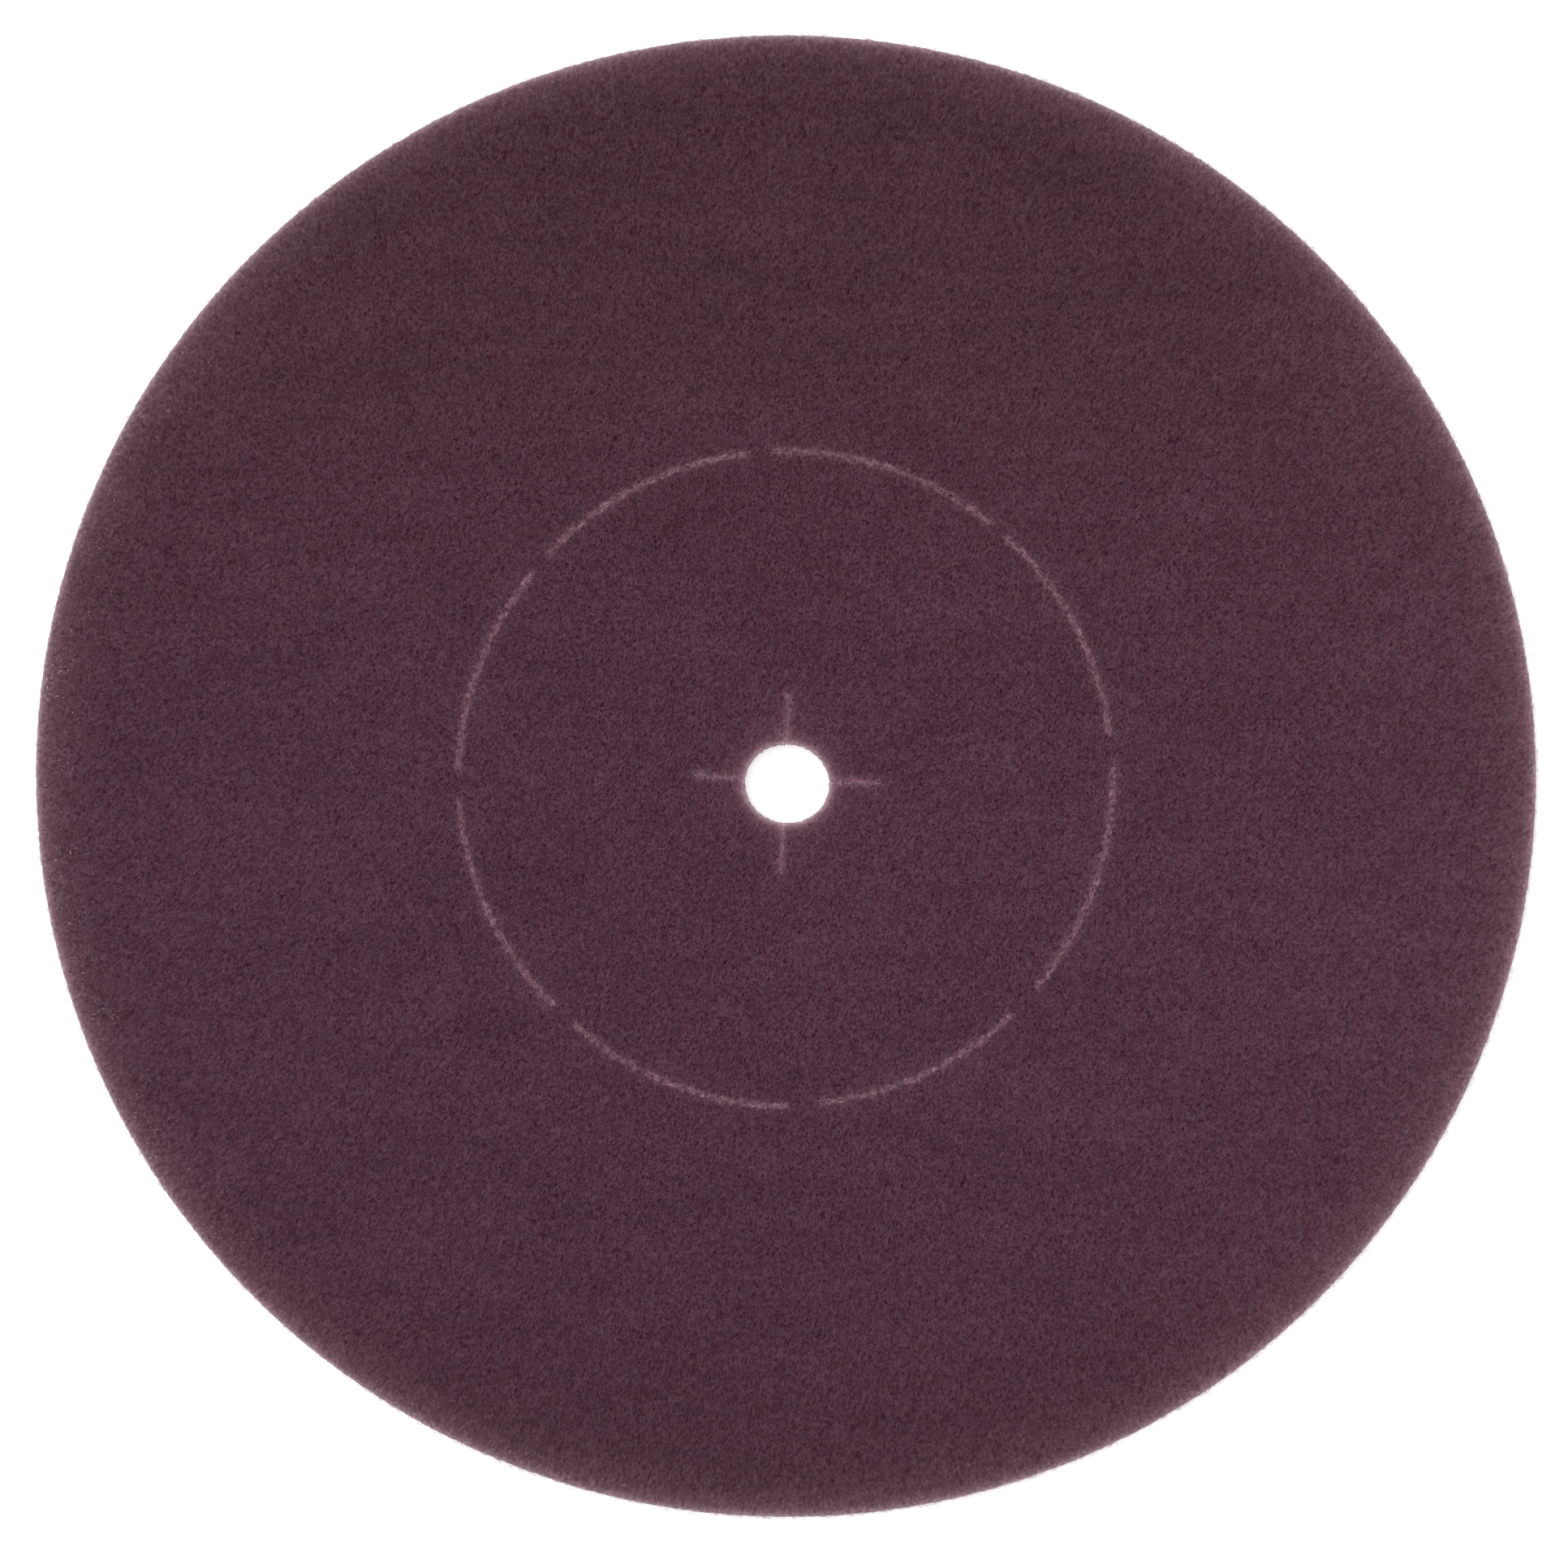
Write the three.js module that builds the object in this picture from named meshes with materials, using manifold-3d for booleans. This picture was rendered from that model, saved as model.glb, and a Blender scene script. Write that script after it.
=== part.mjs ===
// A thin non-woven floor polishing pad: one die-cut disc of bonded nylon fibre.
// It has a centre hole, four short slits that let the hole spread over a hub,
// and a broken ring of slits, so that the middle can be torn out to make a larger hole.
// Millimetres, +Z up. The underside lies on z = 0, and the origin is under the middle of the outline.

import * as THREE from "three";
import { mergeVertices } from "three/addons/utils/BufferGeometryUtils.js";
import Module from "manifold-3d";

// Disc. The web gave a little when it was cut, so the outline is slightly oval.
const PAD_LENGTH = 432;
const PAD_WIDTH = 426.6;
const PAD_TURN = -4.5; // degrees from +X to the longest diameter
const PAD_THICKNESS = 9.5;
const RIM_ROUND = 1.5;

// Centre hole, which sits a little off the middle of the outline.
const HOLE_LENGTH = 24.6;
const HOLE_WIDTH = 23;
const HOLE_X = 0.3;
const HOLE_Y = -2.2;

// Four slits that leave the hole, as the arms of a cross.
const CROSS_SLIT_COUNT = 4;
const CROSS_SLIT_LENGTH = 14.8; // from the edge of the hole
const CROSS_SLIT_WIDTH = 1.2;
const CROSS_TURN = -2.6; // degrees from +X to the first arm
const CROSS_OFFSET_X = -0.7; // from the middle of the hole to the middle of the cross
const CROSS_OFFSET_Y = 1.3;

// Tear-out ring. Each knife cut one slit: from and to are degrees from +X,
// and rise is how much further out the slit ends than it starts.
const RING_RADIUS = 94.1;
const RING_SLIT_WIDTH = 1.4;
const RING_X = 0;
const RING_Y = -0.5;
const RING_SLITS = [
  { from: 7.3, to: 48.1, rise: 0.1 },
  { from: 51.2, to: 92.7, rise: 0.2 },
  { from: 96.4, to: 137.1, rise: 0.2 },
  { from: 140.9, to: 178.7, rise: 0.7 },
  { from: 183.4, to: 224.6, rise: -0.8 },
  { from: 229.1, to: 270.5, rise: 1.1 },
  { from: 275.2, to: 314.5, rise: 0.1 },
  { from: 319.7, to: 362.2, rise: 0.1 },
];

// Fineness of the faceted surfaces.
const RIM_FACETS = 180;
const ROUND_FACETS = 4; // on each rounded edge
const HOLE_FACETS = 48;
const RING_SLIT_STEPS = 12;
const SLIT_END_STEPS = 4;

const CUT_MARGIN = 2; // how far each cutter runs past the faces

const wasm = await Module();
wasm.setup();

// A closed three.js geometry as a solid that can be cut.
function solidFrom(geometry) {
  const bare = geometry.clone();
  bare.deleteAttribute("normal");
  bare.deleteAttribute("uv");
  const merged = mergeVertices(bare);
  return new wasm.Manifold(
    new wasm.Mesh({
      numProp: 3,
      vertProperties: merged.attributes.position.array,
      triVerts: new Uint32Array(merged.index.array),
    }),
  );
}

function geometryFrom(solid) {
  const mesh = solid.getMesh();
  const geometry = new THREE.BufferGeometry();
  geometry.setAttribute(
    "position",
    new THREE.BufferAttribute(mesh.vertProperties, 3),
  );
  geometry.setIndex(new THREE.BufferAttribute(mesh.triVerts, 1));
  geometry.computeVertexNormals();
  return geometry;
}

// Disc with its two edges rounded, turned about Z and then drawn in to its width.
function makeDisc() {
  const radius = PAD_LENGTH / 2;
  const round = Math.min(RIM_ROUND, PAD_THICKNESS / 2);
  const profile = new THREE.Path();
  profile.moveTo(0, 0);
  profile.lineTo(radius - round, 0);
  profile.absarc(radius - round, round, round, -Math.PI / 2, 0, false);
  profile.absarc(
    radius - round,
    PAD_THICKNESS - round,
    round,
    0,
    Math.PI / 2,
    false,
  );
  profile.lineTo(0, PAD_THICKNESS);
  const disc = new THREE.LatheGeometry(
    profile.getPoints(ROUND_FACETS / 2),
    RIM_FACETS,
  );
  disc.rotateX(Math.PI / 2);
  disc.scale(1, PAD_WIDTH / PAD_LENGTH, 1);
  disc.rotateZ(THREE.MathUtils.degToRad(PAD_TURN));
  return disc;
}

// A cutter of this outline that passes right through the pad.
function throughCutter(outline, segments) {
  const cutter = new THREE.ExtrudeGeometry(outline, {
    depth: PAD_THICKNESS + 2 * CUT_MARGIN,
    bevelEnabled: false,
    curveSegments: segments,
  });
  cutter.translate(0, 0, -CUT_MARGIN);
  return cutter;
}

function holeOutline() {
  const outline = new THREE.Shape();
  const turn = THREE.MathUtils.degToRad(PAD_TURN);
  outline.absellipse(
    HOLE_X,
    HOLE_Y,
    HOLE_LENGTH / 2,
    HOLE_WIDTH / 2,
    0,
    2 * Math.PI,
    false,
    turn,
  );
  return outline;
}

// The hole's radius in a direction given as an angle in radians.
function holeRadius(angle) {
  const turned = angle - THREE.MathUtils.degToRad(PAD_TURN);
  return (
    1 /
    Math.hypot(
      Math.cos(turned) / (HOLE_LENGTH / 2),
      Math.sin(turned) / (HOLE_WIDTH / 2),
    )
  );
}

// One slit of the broken ring, as the line down its middle.
class RingSlitLine extends THREE.Curve {
  constructor(slit) {
    super();
    this.slit = slit;
  }

  getPoint(t, target = new THREE.Vector2()) {
    const { from, to, rise } = this.slit;
    const angle = THREE.MathUtils.degToRad(THREE.MathUtils.lerp(from, to, t));
    const radius = RING_RADIUS + rise * (t - 1 / 2);
    return target.set(
      RING_X + radius * Math.cos(angle),
      RING_Y + radius * Math.sin(angle),
    );
  }
}

// The outline of a slit of constant width with round ends, along a line.
function slitOutline(line, width, steps) {
  const points = [];
  const half = width / 2;
  const addSide = (start, end, side) => {
    for (let i = 0; i <= steps; i += 1) {
      const t = THREE.MathUtils.lerp(start, end, i / steps);
      const along = line.getTangent(t);
      const at = line.getPoint(t);
      points.push(
        new THREE.Vector2(at.x + side * half * along.y, at.y - side * half * along.x),
      );
    }
  };
  const addEnd = (t, direction) => {
    const along = line.getTangent(t);
    const at = line.getPoint(t);
    const heading = Math.atan2(along.y * direction, along.x * direction);
    for (let i = 1; i < SLIT_END_STEPS; i += 1) {
      const angle = heading - Math.PI / 2 + (Math.PI * i) / SLIT_END_STEPS;
      points.push(
        new THREE.Vector2(
          at.x + half * Math.cos(angle),
          at.y + half * Math.sin(angle),
        ),
      );
    }
  };
  addSide(0, 1, 1);
  addEnd(1, 1);
  addSide(1, 0, -1);
  addEnd(0, -1);
  return new THREE.Shape(points);
}

// The arms of the cross. Each starts inside the hole and ends its own length past the hole's edge.
function crossSlitLines() {
  const middle = new THREE.Vector2(
    HOLE_X + CROSS_OFFSET_X,
    HOLE_Y + CROSS_OFFSET_Y,
  );
  const lines = [];
  for (let i = 0; i < CROSS_SLIT_COUNT; i += 1) {
    const angle =
      THREE.MathUtils.degToRad(CROSS_TURN) + (2 * Math.PI * i) / CROSS_SLIT_COUNT;
    const direction = new THREE.Vector2(Math.cos(angle), Math.sin(angle));
    const offCentre =
      CROSS_OFFSET_X * direction.x + CROSS_OFFSET_Y * direction.y;
    const reach = holeRadius(angle) + CROSS_SLIT_LENGTH - offCentre;
    const end = middle.clone().addScaledVector(direction, reach);
    lines.push(new THREE.LineCurve(middle.clone(), end));
  }
  return lines;
}

function makePad() {
  const cutters = [
    throughCutter(holeOutline(), HOLE_FACETS / 2),
    ...crossSlitLines().map((line) =>
      throughCutter(slitOutline(line, CROSS_SLIT_WIDTH, 1), 1),
    ),
    ...RING_SLITS.map((slit) =>
      throughCutter(
        slitOutline(new RingSlitLine(slit), RING_SLIT_WIDTH, RING_SLIT_STEPS),
        1,
      ),
    ),
  ];
  let solid = solidFrom(makeDisc());
  for (const cutter of cutters) {
    solid = solid.subtract(solidFrom(cutter));
  }
  const web = new THREE.MeshStandardMaterial({
    color: 0x4e323e,
    roughness: 0.95,
    metalness: 0,
  });
  const pad = new THREE.Mesh(geometryFrom(solid), web);
  pad.name = "fibre_disc";
  return pad;
}

const floorPad = new THREE.Group();
floorPad.add(makePad());

export default floorPad;
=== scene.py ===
import bpy
import numpy as np
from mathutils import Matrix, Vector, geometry, kdtree


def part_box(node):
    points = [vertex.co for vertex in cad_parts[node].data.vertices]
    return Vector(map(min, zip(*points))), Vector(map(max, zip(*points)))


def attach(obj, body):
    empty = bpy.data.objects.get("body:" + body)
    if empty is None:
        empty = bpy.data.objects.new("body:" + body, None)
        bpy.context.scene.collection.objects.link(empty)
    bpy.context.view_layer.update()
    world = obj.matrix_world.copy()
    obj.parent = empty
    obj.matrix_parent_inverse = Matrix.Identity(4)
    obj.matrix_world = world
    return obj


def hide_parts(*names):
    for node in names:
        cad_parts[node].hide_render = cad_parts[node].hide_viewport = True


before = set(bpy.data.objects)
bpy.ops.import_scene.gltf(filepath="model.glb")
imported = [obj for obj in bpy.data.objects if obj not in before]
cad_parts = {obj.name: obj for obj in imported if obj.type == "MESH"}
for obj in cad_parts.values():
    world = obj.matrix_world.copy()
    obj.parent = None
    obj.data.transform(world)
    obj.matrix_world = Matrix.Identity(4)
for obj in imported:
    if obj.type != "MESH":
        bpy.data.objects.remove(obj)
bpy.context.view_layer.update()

MM = 0.001
SEED = 20
NODE = "fibre_disc"
BODY = "root"

# The photograph's size, and where it shows the pad's outline, in its pixels.
PHOTO_WIDTH = 1932
PHOTO_HEIGHT = 1922
OUTLINE_LENGTH_PX = 1847
OUTLINE_MIDDLE_PX = (968.5, 956.25)
CAMERA_HEIGHT = 1.5
SENSOR_WIDTH = 36

# Light. The floor shines a little, as a light table does, so that it comes out white up to the pad.
WORLD_STRENGTH = 0.35
SOFTBOX_SIZE = 1.2
SOFTBOX_PLACE = (-0.25, 0.2, 2.4)
SOFTBOX_WATTS = 43
FLOOR_SIZE = 30
FLOOR_GREY = 0.82
FLOOR_MOTTLE = 0.005
FLOOR_CLOUD_SIZE = 1 / 6
FLOOR_ROUGHNESS = 0.9
FLOOR_SHINE = 0.43
WHITE = (1, 1, 1)

# The kinds of cut edge, and how softly each is rounded on the surface of the web.
KINDS = ("rim", "hole", "arm", "slit")
NARROW = ("arm", "slit")
WIDE_LOOPS = 2  # the rim and the hole with its arms, which come before the slits
RIM_ROUND = 1.5 * MM
ROUNDS = {"rim": RIM_ROUND, "hole": 0.9 * MM, "arm": 0.3 * MM, "slit": 0.3 * MM}

# The fibres on both sides of a knife cut spring back and all but close it.
SLIT_REACH = 1.3 * MM
SLIT_SHUT = 0.95

# The fibres at the rim spring out a little past the cut.
RIM_SWELL = 0.18 * MM

# The painted glow line of a slit stops this far short of where its straight walls end.
LINE_TRIM = 1.4 * MM

# Mesh of the web.
OUTLINE_STEP = 0.9 * MM
HOLE_STEP = 0.45 * MM
GRID_STEP = 2.5 * MM
GRID_JITTER = 0.28
GRID_CLEARANCE = GRID_STEP / 3
ROW_INSETS = (0.35 * MM, 0.9 * MM, 1.7 * MM, 2.9 * MM)
ROW_ROOM = 0.9  # of what a row mostly has: points with less are dropped
FULL_ROWS = 2  # nearest the cut, before rows of half as many points
SLIT_ROWS = 3
WALL_ROWS = 6
WELD_DIGITS = 7
POINT_TOLERANCE = 1e-8
INNER_TRIANGLES = 1  # what the triangulation returns
TINY = 1e-12

# Probe points along the cuts, from which distances are taken.
PROBE_STEP = 0.2 * MM
ACROSS_MATCH = 0.8  # of the reach: a wall nearer than this is the one across a slit
GAP_SAMPLE = 10
GAP_STEP = PROBE_STEP / 4
STRAIGHT_MATCH = 0.25  # of half a slit's width

# An uneven surface is a sum of waves, whose lengths vary by these factors.
WAVES = 28
WAVE_SPREAD = (0.7, 1.6)

# Unevenness of the web, as sizes and strengths: slow swells, lumps, and ragged cut edges.
SWELL = (26 * MM, 0.12 * MM)
LUMPS = (7 * MM, 0.09 * MM)
RAGGED = (2.0 * MM, 0.14 * MM)
RAGGED_DEPTH = 0.9 * MM
RAGGED_SHARES = {"rim": 0.35, "hole": 0.8, "arm": 0.06, "slit": 0.06}
TUCKS = {"rim": 0.35 * MM, "hole": 0.45 * MM, "arm": 0, "slit": 0}
FACE_SINK = 0.3 * MM

# Past this distance a cut's painted glow and glints no longer change the colour. Down a wall it fades
# more slowly.
FAR_FROM_CUT = 30 * MM
WALL_SHARE = 0.5


def unit(vectors):
    """The vectors at length one, along the last axis."""
    return vectors / np.maximum(np.linalg.norm(vectors, axis=-1, keepdims=True), TINY)


def seeded(number):
    """The random numbers of one sub-part."""
    return np.random.default_rng(SEED + number)


def wavy(rng, size, strength):
    """A seeded smooth bumpy function of points, of a typical size and strength."""
    directions = unit(rng.normal(size=(WAVES, 3)))
    speeds = 2 * np.pi / (size * rng.uniform(*WAVE_SPREAD, WAVES))
    phases = rng.uniform(0, 2 * np.pi, WAVES)

    def at(points):
        turns = points @ (directions * speeds[:, None]).T + phases
        return strength * np.sqrt(2 / WAVES) * np.cos(turns).sum(axis=-1)

    return at


def rounded_away(radius, depth):
    """How far an edge of a radius is rounded away, at a depth in from where its corner would be."""
    left = np.clip(radius - depth, 0, radius)
    return radius - np.sqrt(radius**2 - left**2)


def flat(points, height=0.0):
    """Points of a plane as points of space."""
    return np.column_stack([points, np.broadcast_to(height, len(points))])


def sliced(solid, height):
    """The closed outlines of a solid at a height, as arrays of points in order, the longest first."""
    mesh = solid.data
    mesh.calc_loop_triangles()
    places = np.empty(len(mesh.vertices) * 3)
    mesh.vertices.foreach_get("co", places)
    corners = np.empty(len(mesh.loop_triangles) * 3, int)
    mesh.loop_triangles.foreach_get("vertices", corners)
    places, same = np.unique(places.reshape(-1, 3).round(WELD_DIGITS), axis=0, return_inverse=True)
    triangles = same.ravel()[corners].reshape(-1, 3)
    above = places[:, 2] > height
    beside = {}
    crossed = above[triangles].any(axis=1) & ~above[triangles].all(axis=1)
    for a, b, c in triangles[crossed].tolist():
        cut = [tuple(sorted(e)) for e in ((a, b), (b, c), (c, a)) if above[e[0]] != above[e[1]]]
        beside.setdefault(cut[0], []).append(cut[1])
        beside.setdefault(cut[1], []).append(cut[0])
    outlines = []
    while beside:
        edge = next(iter(beside))
        ring = []
        while edge in beside:
            ring.append(edge)
            onward = beside.pop(edge)
            edge = next((e for e in onward if e in beside), None)
        low, high = places[[e[0] for e in ring]], places[[e[1] for e in ring]]
        share = (height - low[:, 2]) / (high[:, 2] - low[:, 2])
        outlines.append((low + share[:, None] * (high - low))[:, :2])
    return sorted(outlines, key=around, reverse=True)


def around(outline):
    """The length of a closed outline."""
    return np.linalg.norm(outline - np.roll(outline, 1, axis=0), axis=1).sum()


def evenly_spaced(outline, step):
    """A closed outline as points at equal steps."""
    closed = np.vstack([outline, outline[:1]])
    along = np.concatenate([[0], np.cumsum(np.linalg.norm(np.diff(closed, axis=0), axis=1))])
    wanted = np.linspace(0, along[-1], round(along[-1] / step), endpoint=False)
    return np.column_stack([np.interp(wanted, along, closed[:, k]) for k in (0, 1)])


def material_on_left(outline, outer):
    """The outline in the order that keeps the pad's material on its left."""
    following = np.roll(outline, -1, axis=0)
    area = (outline[:, 0] * following[:, 1] - outline[:, 1] * following[:, 0]).sum()
    return outline if (area > 0) == outer else outline[::-1]


def outward(outline):
    """Each point's direction out of the material."""
    along = unit(np.roll(outline, -1, axis=0) - np.roll(outline, 1, axis=0))
    return np.column_stack([along[:, 1], -along[:, 0]])


def inside(points, outline):
    """Which points lie inside a closed outline."""
    low, high = outline.min(axis=0), outline.max(axis=0)
    near = np.flatnonzero(((points > low) & (points < high)).all(axis=1))
    x, y = points[near].T
    odd = np.zeros(len(near), bool)
    for (x0, y0), (x1, y1) in zip(outline, np.roll(outline, -1, axis=0)):
        if y0 != y1:
            odd ^= ((y0 > y) != (y1 > y)) & (x < (x1 - x0) * (y - y0) / (y1 - y0) + x0)
    result = np.zeros(len(points), bool)
    result[near[odd]] = True
    return result


def closest(tree, points):
    """The distance of points to a search tree's points, and the number of the nearest of them."""
    hits = [tree.find((x, y, 0)) for x, y in points.tolist()]
    return np.array([h[2] for h in hits]), np.array([h[1] for h in hits])


class Cuts:
    """The pad's cut edges: its rim, its centre hole with the arms of a cross, and the ring of slits."""

    def __init__(self, solid, height):
        loops = sliced(solid, height)
        hole = min(range(1, len(loops)), key=lambda k: np.abs(loops[k].mean(axis=0)).sum())
        order = [0, hole] + [k for k in range(1, len(loops)) if k != hole]
        slit_count = len(loops) - WIDE_LOOPS
        self.outlines = [material_on_left(loops[k], k == 0) for k in order]
        steps = [OUTLINE_STEP, HOLE_STEP] + [OUTLINE_STEP] * slit_count
        self.loops = [evenly_spaced(o, step) for o, step in zip(self.outlines, steps)]
        self.ways = np.vstack([outward(loop) for loop in self.loops])
        probes = [evenly_spaced(o, PROBE_STEP) for o in self.outlines]
        self.probes = np.vstack(probes)
        self.ways_out = np.vstack([outward(p) for p in probes])
        loop_kinds = ["rim", "hole"] + ["slit"] * slit_count
        self.kinds = np.repeat(loop_kinds, [len(p) for p in probes])
        around_hole = np.flatnonzero(self.kinds == "hole")
        self.kinds[around_hole[self.is_narrow(around_hole)]] = "arm"
        self.trees = {kind: self.tree(self.kinds == kind) for kind in KINDS}
        self.half_gaps = {kind: self.half_gap(kind) for kind in NARROW}
        self.lined = {kind: self.along_line(kind) for kind in NARROW}
        self.line_trees = {kind: self.tree(self.lined[kind]) for kind in NARROW}

    def chosen(self, numbers):
        """The probe points with these numbers, as a choice among all of them."""
        return np.isin(np.arange(len(self.probes)), numbers)

    def tree(self, chosen):
        """A search tree over the chosen probe points."""
        numbers = np.flatnonzero(chosen)
        tree = kdtree.KDTree(len(numbers))
        for number, (x, y) in zip(numbers.tolist(), self.probes[numbers].tolist()):
            tree.insert((x, y, 0), number)
        tree.balance()
        return tree

    def is_narrow(self, numbers):
        """Which probe points have a wall just across from them."""
        tree = self.tree(self.chosen(numbers))
        across = self.probes[numbers] + SLIT_REACH * self.ways_out[numbers]
        return closest(tree, across)[0] < ACROSS_MATCH * SLIT_REACH

    def half_gap(self, kind):
        """Half the width of a kind of slit: the most room that there is across it."""
        numbers = np.flatnonzero(self.kinds == kind)[::GAP_SAMPLE]
        room = [
            closest(self.trees[kind], self.probes[numbers] + reach * self.ways_out[numbers])[0]
            for reach in np.arange(PROBE_STEP, SLIT_REACH, GAP_STEP)
        ]
        return np.median(np.max(room, axis=0))

    def along_line(self, kind):
        """Which probe points of a kind of slit stand on its straight walls, away from its round ends."""
        numbers = np.flatnonzero(self.kinds == kind)
        across = self.probes[numbers] + 2 * self.half_gaps[kind] * self.ways_out[numbers]
        straight = closest(self.trees[kind], across)[0] < STRAIGHT_MATCH * self.half_gaps[kind]
        ends = self.tree(self.chosen(numbers[~straight]))
        clear = closest(ends, self.probes[numbers])[0] > LINE_TRIM
        return self.chosen(numbers[straight & clear])

    def line_distance(self, points, kind):
        """How far points are from the middle line of the nearest slit of a kind."""
        probe = closest(self.line_trees[kind], points)[1]
        way = self.ways_out[probe]
        offset = points - self.probes[probe]
        across = self.half_gaps[kind] - (offset * way).sum(axis=1)
        along = offset[:, 0] * way[:, 1] - offset[:, 1] * way[:, 0]
        return np.hypot(across, along)

    def depths(self, points):
        """For each kind of cut, how deep in the material points lie, and the nearest edge's way out."""
        depths = {}
        for kind in KINDS:
            distance, probe = closest(self.trees[kind], points)
            way = self.ways_out[probe]
            sign = np.where(((points - self.probes[probe]) * way).sum(axis=1) > 0, -1, 1)
            depths[kind] = (distance * sign, way)
        return depths


def least_depth(depths):
    """How deep in the material points lie, whatever the cut."""
    return np.min([depths[kind][0] for kind in KINDS], axis=0)


class Surface:
    """The web's two faces as heights over the plane."""

    def __init__(self, thickness, rng):
        self.thickness = thickness
        self.reliefs = [(wavy(rng, *SWELL), wavy(rng, *LUMPS)) for _ in range(2)]

    def drop(self, depths):
        """How far the rounded cut edges lower the face."""
        return np.max([rounded_away(ROUNDS[kind], depths[kind][0]) for kind in KINDS], axis=0)

    def sink(self, points, side):
        """How far inside the solid's face the web's own face lies."""
        relief = sum(wave(flat(points)) for wave in self.reliefs[side])
        return FACE_SINK + np.clip(relief, -FACE_SINK, None)

    def top(self, points, depths):
        return self.thickness - self.sink(points, 0) - self.drop(depths)

    def under(self, points, depths):
        return self.sink(points, 1) + self.drop(depths)


def face_points(cuts, rng):
    """The points of a face: cut edges first, then rows along them, then a jittered grid."""
    rows = []
    for number, loop in enumerate(cuts.loops):
        insets = ROW_INSETS if number < WIDE_LOOPS else ROW_INSETS[:SLIT_ROWS]
        for k, inset in enumerate(insets):
            row = loop - inset * outward(loop)
            rows.append(row if k < FULL_ROWS else row[::2])
    half = cuts.loops[0].max(axis=0)
    row_step = GRID_STEP * np.sqrt(3) / 2
    x, y = np.meshgrid(
        np.arange(-half[0], half[0], GRID_STEP), np.arange(-half[1], half[1], row_step)
    )
    x[1::2] += GRID_STEP / 2
    grid = np.column_stack([x.ravel(), y.ravel()])
    grid += rng.uniform(-GRID_JITTER, GRID_JITTER, grid.shape) * GRID_STEP
    grid = grid[least_depth(cuts.depths(grid)) > ROW_INSETS[-1] + GRID_CLEARANCE]
    kept = []
    for row in rows:
        room = least_depth(cuts.depths(row))
        kept.append(row[room > ROW_ROOM * np.median(room)])
    return np.vstack([*cuts.loops, *kept, grid])


def face_triangles(points, cuts):
    """Triangles over a face, with none over the hole or a slit."""
    edges = []
    start = 0
    for loop in cuts.loops:
        numbers = start + np.arange(len(loop))
        edges += np.column_stack([numbers, np.roll(numbers, -1)]).tolist()
        start += len(loop)
    places, _, triangles, *_ = geometry.delaunay_2d_cdt(
        points.tolist(), edges, [], INNER_TRIANGLES, POINT_TOLERANCE, False
    )
    if len(places) != len(points):
        raise ValueError("the face has points that fall together")
    triangles = np.array(triangles)
    slivers = (triangles < len(cuts.loops[0])).all(axis=1)
    triangles = triangles[~slivers]
    middles = points[triangles].mean(axis=1)
    for outline in cuts.loops[1:]:
        triangles = triangles[~inside(middles, outline)]
        middles = points[triangles].mean(axis=1)
    return triangles


def new_object(name, vertices, polygons, material, values):
    """An object with a smooth mesh of polygons of several sizes, and a value at each vertex."""
    mesh = bpy.data.meshes.new(name)
    sizes = np.concatenate([np.full(len(p), p.shape[1]) for p in polygons])
    corners = np.concatenate([p.ravel() for p in polygons])
    mesh.vertices.add(len(vertices))
    mesh.vertices.foreach_set("co", vertices.astype(np.float32).ravel())
    mesh.loops.add(len(corners))
    mesh.loops.foreach_set("vertex_index", corners.astype(np.int32))
    mesh.polygons.add(len(sizes))
    starts = np.concatenate([[0], np.cumsum(sizes)[:-1]])
    mesh.polygons.foreach_set("loop_start", starts.astype(np.int32))
    mesh.polygons.foreach_set("use_smooth", np.ones(len(sizes), bool))
    for key, value in values.items():
        attribute = mesh.attributes.new(key, "FLOAT", "POINT")
        attribute.data.foreach_set("value", value.astype(np.float32))
    mesh.update(calc_edges=True)
    mesh.validate()
    mesh.materials.append(material)
    made = bpy.data.objects.new(name, mesh)
    bpy.context.scene.collection.objects.link(made)
    return made


def cut_values(cuts, points, depths, closed):
    """How far points are from the rim, from the hole and from the middle line of each kind of slit."""
    distances = {"rim_depth": depths["rim"][0], "hole_depth": depths["hole"][0]}
    for kind in NARROW:
        distances[kind + "_line"] = cuts.line_distance(points, kind) - closed[kind]
    return {key: np.clip(value, 0, FAR_FROM_CUT) for key, value in distances.items()}


def wall_quads(cuts, count, on_edge):
    """The faces of the walls, which join the two faces' edges by rows of points in between."""
    quads = []
    start = 0
    for loop in cuts.loops:
        here = start + np.arange(len(loop))
        start += len(loop)
        rows = [2 * count + on_edge * k + here for k in range(WALL_ROWS - 1)]
        levels = [here, *rows, count + here]
        for high, low in zip(levels, levels[1:]):
            quads.append(np.column_stack([low, np.roll(low, -1), np.roll(high, -1), high]))
    return np.vstack(quads)


def edge_shifts(cuts, depths, on_edge):
    """How cut edges move the points near them: how far slits close, all closing, raggedness and tuck."""
    fades = {kind: np.exp(-np.abs(depths[kind][0]) / RAGGED_DEPTH) for kind in KINDS}
    closed = {kind: fades[kind] * SLIT_SHUT * cuts.half_gaps[kind] for kind in NARROW}
    closing = sum(closed[kind][:, None] * depths[kind][1] for kind in NARROW)
    closing += RIM_SWELL * fades["rim"][:, None] * depths["rim"][1]
    pushes = sum((RAGGED_SHARES[kind] * fades[kind])[:, None] * depths[kind][1] for kind in KINDS)
    nearest_kind = np.argmin([depths[kind][0][:on_edge] for kind in KINDS], axis=0)
    edge_share = np.array([RAGGED_SHARES[kind] for kind in KINDS])[nearest_kind]
    pushes[:on_edge] = edge_share[:, None] * cuts.ways
    tucks = np.array([TUCKS[kind] for kind in KINDS])[nearest_kind]
    return closed, closing, pushes, tucks


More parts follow.
